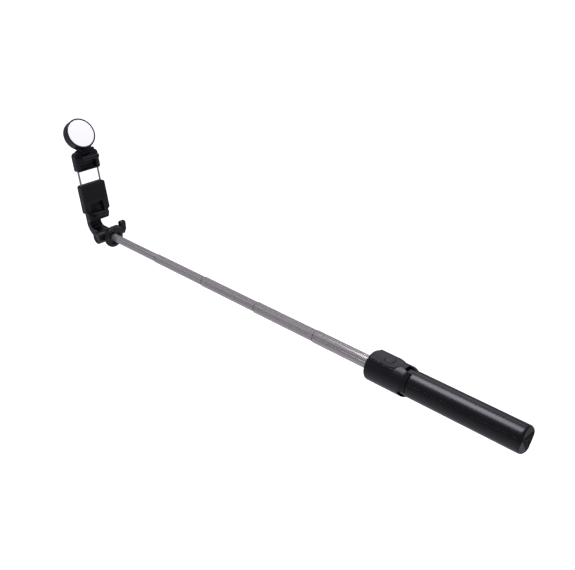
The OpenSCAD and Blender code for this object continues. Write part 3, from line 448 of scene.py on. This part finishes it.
def led_yellow():
    """Phosphor gel: warm yellow grains in clear silicone."""
    tree, shader, vector = new_finish("led_yellow")
    gel = effect(tree, GRAIN, vector, Scale=6000)
    tint = blend_colour(tree, gel["Height"], colour(0.8, 0.6, 0.15), colour(0.9, 0.8, 0.4))
    tree.links.new(tint, shader.inputs["Base Color"])
    tree.links.new(spread(tree, gel["Tone"], 0.2, 0.35), shader.inputs["Roughness"])
    relief(tree, shader, gel["Height"], depth=1e-5, edge=1e-4)


def battery_wrap():
    """Foil pouch: crumpled relief from a noise, with a tone and a gloss that follow the folds."""
    tree, shader, vector = new_finish("battery_wrap")
    folds = noise(tree, stretched(tree, vector, (1.0, 1.0, 0.5)), 420.0, detail=4.0, roughness=0.65)
    tint = blend_colour(tree, folds, colour(0.45, 0.49, 0.56), colour(0.64, 0.68, 0.75))
    tree.links.new(tint, shader.inputs["Base Color"])
    tree.links.new(spread(tree, folds, 0.22, 0.4), shader.inputs["Roughness"])
    shader.inputs["Metallic"].default_value = 0.7
    relief(tree, shader, folds, depth=1.5e-4, edge=3e-4)


plastic("satin_black", dark=colour(0.006, 0.006, 0.0075), light=colour(0.010, 0.010, 0.012),
        rough=(0.29, 0.36), grain_scale=3200, depth=6e-6, edge=5e-4, marks=0.25)
plastic("gloss_black", dark=colour(0.004, 0.004, 0.0052), light=colour(0.007, 0.0068, 0.009),
        rough=(0.25, 0.31), grain_scale=2600, depth=3e-6, edge=2.5e-4, marks=0.2)
plastic("black_rubber", dark=colour(0.003, 0.003, 0.0034), light=colour(0.006, 0.006, 0.0065),
        rough=(0.7, 0.85), grain_scale=1900, depth=3e-5, edge=2e-4, marks=0.2)
plastic("nylon", dark=colour(0.035, 0.035, 0.04), light=colour(0.06, 0.06, 0.066),
        rough=(0.45, 0.6), grain_scale=2200, depth=1e-5, edge=2e-4, marks=0.3)
silver_tube()
metal("black_oxide", dark=colour(0.012, 0.012, 0.014), light=colour(0.024, 0.024, 0.027),
      rough=(0.35, 0.45), line_scale=5200, edge=1e-4)
metal("steel", dark=colour(0.45, 0.46, 0.48), light=colour(0.62, 0.63, 0.65),
      rough=(0.2, 0.38), line_scale=5200, edge=1e-4)
circuit_board()
white_diffuser()
led_yellow()
battery_wrap()

# Finish of every solid
FINISHES = {
    "satin_black": "handle_head remote_tray remote_cover shutter_button swivel_collar tilt_base tilt_arm "
                   "bolt_cap wing_knob holder_body holder_back lower_claw upper_jaw upper_claw lamp_housing",
    "gloss_black": "leg_top leg_left leg_right lamp_bezel",
    "black_rubber": "foot_top foot_left foot_right pivot_washer lower_pad upper_pad",
    "silver_tube": "guide_tube tube_1 tube_2 tube_3 tube_4 tube_5",
    "black_oxide": "swivel_screws",
    "steel": "leg_pins remote_cell remote_switch tip_post tilt_bolt pivot_screw pivot_nut back_screws "
             "lower_pin clamp_springs guide_rods upper_pin lamp_pin",
    "nylon": "guide_plug bush_1 bush_2 bush_3 bush_4 bush_5 tilt_washer lamp_switch",
    "circuit_board": "remote_board lamp_board",
    "white_diffuser": "lamp_diffuser",
    "led_yellow": "lamp_leds",
    "battery_wrap": "lamp_battery",
}
for slot, names in FINISHES.items():
    for name in names.split():
        nodes[name].data.materials.clear()
        nodes[name].data.materials.append(MATERIALS[slot])


# New pieces: handle

def dished_cap(radius, low, top, flange, flange_top, edge, dish):
    """Profile of a push button: a flange, a straight wall, a rounded edge and a parabolic dish."""
    inner = radius - edge
    share = inward(12)
    return np.concatenate([
        [(0, low), (flange, low), (flange, flange_top), (radius, flange_top)],
        quarter((inner, top - edge), edge),
        np.stack([inner * share, top - dish * (1 - share ** 2)], -1),
    ])


def shutter_button():
    """Round shutter button with a shallow dish. Above its flange it follows the remote's crown: a point
    drops by the crown's radius less the root of that radius squared less the point's side squared."""
    flange_thick, hair = 0.36, 0.01
    low, high = (np.array(corner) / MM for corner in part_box("shutter_button"))
    middle = (low + high) / 2
    flange_top = low[2] + flange_thick
    grid = turned(dished_cap(radius=5.7, low=low[2], top=high[2], flange=6.3, flange_top=flange_top,
                             edge=0.4, dish=0.3))
    drop = CROWN_R - np.sqrt(CROWN_R ** 2 - grid[..., 0] ** 2)
    grid[..., 2] -= drop * (grid[..., 2] > flange_top + hair)
    piece = skin("shutter_cap", stick_frame(grid + (middle[0], middle[1], 0)), "shutter", "satin_black")
    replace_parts(piece, "shutter_button")


def foot_pads():
    """Rubber pad on the end of each leg: a third of a triangle with its outer corners cut off, rounded at
    its corners, carried along the stick with a soft edge and turned about the stick to its leg."""
    tip_round, corner_round, edge = 0.2, 0.4, 0.3
    right_side = [(*PAD_SIDE, corner_round), (*PAD_CHORD, corner_round)]
    left_side = [(-x, out, bend) for x, out, bend in right_side[::-1]]
    outline = rounded_outline([(0, PAD_TIP, tip_round)] + right_side + left_side)
    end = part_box("foot_top")[0].y / MM
    along, across, out = np.moveaxis(carried(outline, end, end + PAD_DEPTH, edge), -1, 0)
    for name, turn in (("top", 0), ("left", -120), ("right", 120)):
        cos, sin = math.cos(math.radians(turn)), math.sin(math.radians(turn))
        grid = np.stack([across * cos + out * sin, along, out * cos - across * sin], -1)
        pad = skin("pad_" + name, stick_frame(grid), "leg_" + name, "black_rubber", loop_u=False,
                   loop_v=True)
        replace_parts(pad, "foot_" + name)


# New pieces: lamp

def on_lamp_axis(profile):
    """A profile turned about the lamp's axis; its heights run away from the user."""
    side, up, along = np.moveaxis(turned(profile, 128), -1, 0)
    return np.stack([side, along, up], -1)


def lamp_front():
    """Opal disc, a turned profile with a rounded rim and a parabolic dome, and the ring round it, a turned
    rectangle with rounded corners."""
    edge, thick, dome, lip = LAMP_R - 2.1, 1.7, 0.4, 0.35
    share = inward(24)
    disc = np.concatenate([
        [(0, LAMP_FACE + thick), (edge, LAMP_FACE + thick)],
        quarter_down((edge - lip, LAMP_FACE + lip), lip),
        np.stack([(edge - lip) * share, LAMP_FACE - dome * (1 - share ** 2)], -1),
    ])
    piece = skin("lamp_opal", lamp_frame(on_lamp_axis(disc)), "lamp", "white_diffuser")
    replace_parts(piece, "lamp_diffuser")
    ring_in, ring_back = LAMP_R - 1.95, LAMP_FACE + 1.2
    inner_round, outer_round, back_round = 0.35, 0.7, 0.05
    ring = rounded_outline([(ring_in, LAMP_FACE, inner_round), (LAMP_R, LAMP_FACE, outer_round),
                            (LAMP_R, ring_back, back_round), (ring_in, ring_back, back_round)])
    piece = skin("lamp_ring", lamp_frame(on_lamp_axis(ring)), "lamp", "gloss_black", loop_v=True)
    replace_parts(piece, "lamp_bezel")


def lamp_button():
    """Dished switch cap in the lamp's back: a button's profile turned about an axis above the centre."""
    wall, proud, flange_thick = 1.6, 0.6, 0.6
    inner = LAMP_BACK - wall
    profile = dished_cap(radius=2.8, low=inner - flange_thick, top=LAMP_BACK + proud, flange=3.5,
                         flange_top=inner, edge=0.4, dish=0.2)
    grid = on_lamp_axis(profile) + (0, 0, SWITCH_UP)
    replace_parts(skin("lamp_switch_cap", lamp_frame(grid), "lamp_button", "nylon"), "lamp_switch")


# New pieces: screws

def cross_recess(side, up, width, reach, depth):
    """Depth of a cross-shaped recess: the deeper of two crossed bars, each the product of two soft steps."""
    soft = width / 3

    def bar(value, half):
        """A soft step: 1 within half a width of the middle, 0 outside it."""
        return np.clip((half - np.abs(value)) / soft + 0.5, 0, 1)

    return depth * np.maximum(bar(side, width / 2) * bar(up, reach), bar(side, reach) * bar(up, width / 2))


def screw(shank, shank_low, head, head_low, top, recess):
    """A screw as a turned profile, shank to head, with a cross recess sunk into the head's face."""
    edge, slot_width, slot_reach = 0.18 * head, 0.22 * head, 0.62 * head
    point_in, point_rise = 0.2, 0.3
    share = inward(28)
    profile = np.concatenate([
        [(0, shank_low), (shank - point_in, shank_low), (shank, shank_low + point_rise)],
        [(shank, head_low), (head, head_low)],
        quarter((head - edge, top - edge), edge),
        np.stack([(head - edge) * share, top + 0 * share], -1),
    ])
    grid = turned(profile)
    face = grid[..., 2] > top - 1e-6
    grid[..., 2] -= face * cross_recess(grid[..., 0], grid[..., 1], slot_width, slot_reach, recess)
    return grid


def facing_back(grid, x, p):
    """Lays a turned grid's axis along the clamp's depth, its top away from the user, at a place
    across and up the clamp."""
    side, up, along = np.moveaxis(grid, -1, 0)
    return clamp_frame(np.stack([side + x, along, up + p], -1))


def clamp_screws():
    """Pivot screw in the arm, and the four screws of the clamp's back cover."""
    grid = screw(shank=2.5, shank_low=BACK_Q - 2.7, head=5, head_low=ARM_REAR_Q - 2.2, top=ARM_REAR_Q,
                 recess=1.2)
    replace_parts(skin("pivot_screw_turned", facing_back(grid, 0, PIVOT_P), "arm", "steel"), "pivot_screw")
    grid = screw(shank=0.9, shank_low=BACK_Q - 4, head=1.7, head_low=REAR_Q - 1, top=REAR_Q, recess=0.5)
    places = [(x, p) for p in COVER_SCREW_P for x in (-COVER_SCREW_X, COVER_SCREW_X)]
    for number, (x, p) in enumerate(places):
        piece = skin(f"back_screw_{number}", facing_back(grid, x, p), "holder", "steel")
        if number == 0:
            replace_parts(piece, "back_screws")


# New pieces: tilt hinge

def about_x(profile, steps=96):
    """A (radius, x) profile turned about the tilt axis."""
    side, up, along = np.moveaxis(turned(profile, steps), -1, 0)
    return np.stack([along, side + HINGE_Y, up], -1)


def bolt_cap():
    """Cap over the bolt's head: a turned profile of a spigot, a flange with a rounded rim and a flat
    dish."""
    spigot_r, spigot_end, flange = 4.2, -16.3, -17.5
    cap_r, face, rim = 7.1, -18.1, 0.5
    dish_r, floor_r, dish_floor = 5.2, 4.9, -17.9
    profile = np.concatenate([
        [(0, spigot_end), (spigot_r, spigot_end), (spigot_r, flange), (cap_r, flange)],
        quarter_down((cap_r - rim, face + rim), rim),
        [(dish_r, face), (floor_r, dish_floor), (0, dish_floor)],
    ])
    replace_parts(skin("bolt_cap_turned", stick_frame(about_x(profile)), "arm", "satin_black"), "bolt_cap")


def wing_knob():
    """Hub, a turned profile with a bore, whose rim is drawn in by a raised cosine 18 times round, and
    paddle, a rounded trapezium carried along the tilt axis with a soft edge."""
    bore_r, bore_end = 2.05, 23.4
    hub_r, foot, top, rim = 6, 17, 24, 0.8
    foot_edge = [(5.5, foot), (5.9, 17.2), (hub_r, 17.6)]
    wall = [(hub_r, 20), (hub_r, 22.5)]
    scallops, scallop_share, plain_r = 18, 0.04, 5.3
    profile = np.concatenate([
        [(0, bore_end), (bore_r, bore_end), (bore_r, foot)],
        foot_edge,
        wall,
        quarter((hub_r - rim, top - rim), rim),
        [(0, top)],
    ])
    grid = about_x(profile, 180)
    around = np.arctan2(grid[..., 2], grid[..., 1] - HINGE_Y)
    reach = np.hypot(grid[..., 1] - HINGE_Y, grid[..., 2])
    factor = 1 - scallop_share * (0.5 + 0.5 * np.cos(scallops * around)) * (reach > plain_r)
    grid[..., 1] = HINGE_Y + (grid[..., 1] - HINGE_Y) * factor
    grid[..., 2] *= factor
    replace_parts(skin("wing_hub", stick_frame(grid), "wing", "satin_black"), "wing_knob")
    root_half, root, root_round = 3.7, -1.85, 1.4
    tip_half, tip, tip_round = 3.18, 12.3, 2.4
    outline = rounded_outline([(-root_half, root, root_round), (root_half, root, root_round),
                               (tip_half, tip, tip_round), (-tip_half, tip, tip_round)], 8)
    paddle = carried(outline + (HINGE_Y, 0), low=18.5, high=27.5, edge=1.6)
    skin("wing_paddle", stick_frame(paddle), "wing", "satin_black", loop_u=False, loop_v=True)


# New pieces: clamp pads

def ribbed_pad(low, high, back, face, ribs, depth):
    """Closed outline of a pad's section: a flat back, and a face whose ridges are a raised cosine."""
    along = np.linspace(low, high, 12 * ribs + 1)
    wave = 0.5 - 0.5 * np.cos(TURN * ribs * (along - low) / (high - low))
    top = np.stack([along, face + (back - face) * depth * (1 - wave)], -1)
    return np.concatenate([[(low, back), (high, back)], top[::-1]])


def pads():
    """Ribbed rubber on both claws, and a thin ribbed panel on the clamp body's front: ribbed sections
    carried across the clamp."""
    lower_half, upper_half, panel_half = 8, 10.5, 14.5
    claw_edge, panel_edge, panel_thick = 0.2, 0.1, 0.28
    section = ribbed_pad(low=0, high=8.1, back=-1, face=0, ribs=6, depth=0.3)
    grid = carried(section, -lower_half, lower_half, claw_edge, 3)
    piece = skin("lower_pad_ribbed", clamp_frame(grid), "lower_claw", "black_rubber", loop_u=False,
                 loop_v=True)
    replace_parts(piece, "lower_pad")
    grid = carried(section, -upper_half, upper_half, claw_edge, 3)
    grid[..., 2] = CLAMP_OPEN - grid[..., 2]
    piece = skin("upper_pad_ribbed", clamp_frame(grid), "upper_claw", "black_rubber", loop_u=False,
                 loop_v=True)
    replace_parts(piece, "upper_pad")
    section = ribbed_pad(low=17.5, high=36.5, back=BODY_Q, face=BODY_Q - panel_thick, ribs=10, depth=0.6)
    grid = carried(section[:, ::-1], -panel_half, panel_half, panel_edge, 2)
    skin("front_panel", clamp_frame(grid), "holder", "black_rubber", loop_u=False, loop_v=True)


# New pieces: tubes

def fluted(radius, steps=360):
    """Outline of a fluted tube, and its reach from the axis at each step. The reach is the tube's radius
    or, in a flute, the near side of the flute's circle, whose centre all sections share."""
    flute_r = FLUTE_AT - radius + FLUTE_DEPTH
    pitch = TURN / FLUTES
    angle = np.linspace(0, TURN, steps, endpoint=False)
    off = angle % pitch - pitch / 2
    inside = flute_r ** 2 - (FLUTE_AT * np.sin(off)) ** 2
    cut = FLUTE_AT * np.cos(off) - np.sqrt(np.maximum(inside, 0))
    reach = np.where(inside > 0, np.minimum(radius, cut), radius)
    return reach[:, None] * np.stack([np.cos(angle), np.sin(angle)], -1), reach


def tube_lips():
    """Rolled edge at each section's mouth: a small oval bead carried round the fluted outline."""
    bead_in, bead_half, bead_along = 0.08, 0.2, 0.42
    bead = np.linspace(0, TURN, 12, endpoint=False)
    for number in (2, 3, 4, 5):
        outline, reach = fluted(TUBE_R - (5 - number) * TUBE_STEP)
        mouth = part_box(f"tube_{number}")[1].y / MM
        out = -bead_in + bead_half * np.cos(bead)
        along = mouth - bead_along + bead_along * np.sin(bead)
        flat = outline[:, None, :] * (1 + out[None, :, None] / reach[:, None, None])
        grid = np.stack([flat[..., 0], np.broadcast_to(along, flat.shape[:2]), flat[..., 1]], -1)
        skin(f"tube_lip_{number}", stick_frame(grid), f"section_{number}", "silver_tube", loop_v=True,
             crease=60)


shutter_button()
foot_pads()
lamp_front()
lamp_button()
clamp_screws()
bolt_cap()
wing_knob()
pads()
tube_lips()


# Stage

def in_view(tree, reflected, seen):
    """A strength that is one value to reflections and light, and another to the camera."""
    return spread(tree, put(tree, "ShaderNodeLightPath").outputs["Is Camera Ray"], reflected, seen)


def floor():
    """Plain pale floor well below the part, bright to the camera and softer to reflections."""
    size, level = 12.0, -0.45
    corners = [(-size, -size, level), (size, -size, level), (size, size, level), (-size, size, level)]
    mesh = bpy.data.meshes.new("floor")
    mesh.from_pydata(corners, [], [(0, 1, 2, 3)])
    material = bpy.data.materials.new("floor")
    material.use_nodes = True
    tree = material.node_tree
    shader = tree.nodes["Principled BSDF"]
    shader.inputs["Base Color"].default_value = colour(0.85, 0.85, 0.87)
    shader.inputs["Roughness"].default_value = 0.9
    shader.inputs["Emission Color"].default_value = colour(1, 1, 1)
    tree.links.new(in_view(tree, reflected=0.13, seen=1.0), shader.inputs["Emission Strength"])
    mesh.materials.append(material)
    piece = bpy.data.objects.new("floor", mesh)
    bpy.context.scene.collection.objects.link(piece)


def softbox(name, place, target, width, height, power):
    """A cool area light at a place, turned to a target."""
    data = bpy.data.lights.new(name, "AREA")
    data.color = (0.92, 0.9, 1.0)
    data.shape, data.size, data.size_y, data.energy = "RECTANGLE", width, height, power
    light = bpy.data.objects.new(name, data)
    bpy.context.scene.collection.objects.link(light)
    light.location = place
    light.rotation_mode = "QUATERNION"
    light.rotation_quaternion = (Vector(target) - Vector(place)).to_track_quat("-Z", "Y")


def backdrop():
    """A faint cool light all round, white to the camera."""
    world = bpy.data.worlds.new("studio")
    bpy.context.scene.world = world
    world.use_nodes = True
    tree = world.node_tree
    background = tree.nodes["Background"]
    background.inputs["Color"].default_value = colour(0.84, 0.82, 1)
    tree.links.new(in_view(tree, reflected=0.22, seen=1.25), background.inputs["Strength"])
    bpy.context.scene.view_settings.view_transform = "Standard"


def camera():
    """Camera with the fitted axes, and a shift of the picture by less than a pixel."""
    forward = Vector(CAMERA_FORWARD).normalized()
    right = Vector(CAMERA_RIGHT)
    right = (right - forward * right.dot(forward)).normalized()
    up = right.cross(forward)
    data = bpy.data.cameras.new("camera")
    data.sensor_fit, data.sensor_width = "HORIZONTAL", SENSOR_WIDTH
    data.lens = FOCAL_PIXELS / FRAME_WIDTH * SENSOR_WIDTH
    data.shift_x, data.shift_y = -PICTURE_MOVE[0] / FRAME_WIDTH, PICTURE_MOVE[1] / FRAME_WIDTH
    eye = bpy.data.objects.new("camera", data)
    bpy.context.scene.collection.objects.link(eye)
    eye.matrix_world = Matrix.Translation(CAMERA_AT) @ Matrix((right, up, -forward)).transposed().to_4x4()
    bpy.context.scene.camera = eye


camera()
floor()
softbox("overhead", place=(0.065, 0.43, 1.0), target=(0.065, 0.4299, 0), width=0.61, height=0.46, power=7)
softbox("far strip", place=(-0.6, 1.35, 1.0), target=(-0.6, 1.3499, 0), width=0.24, height=1.2, power=0.42)
softbox("right back", place=(1.55, 0.92, 1.2), target=(0, 0.1, 0), width=0.74, height=1.0, power=2.4)
backdrop()
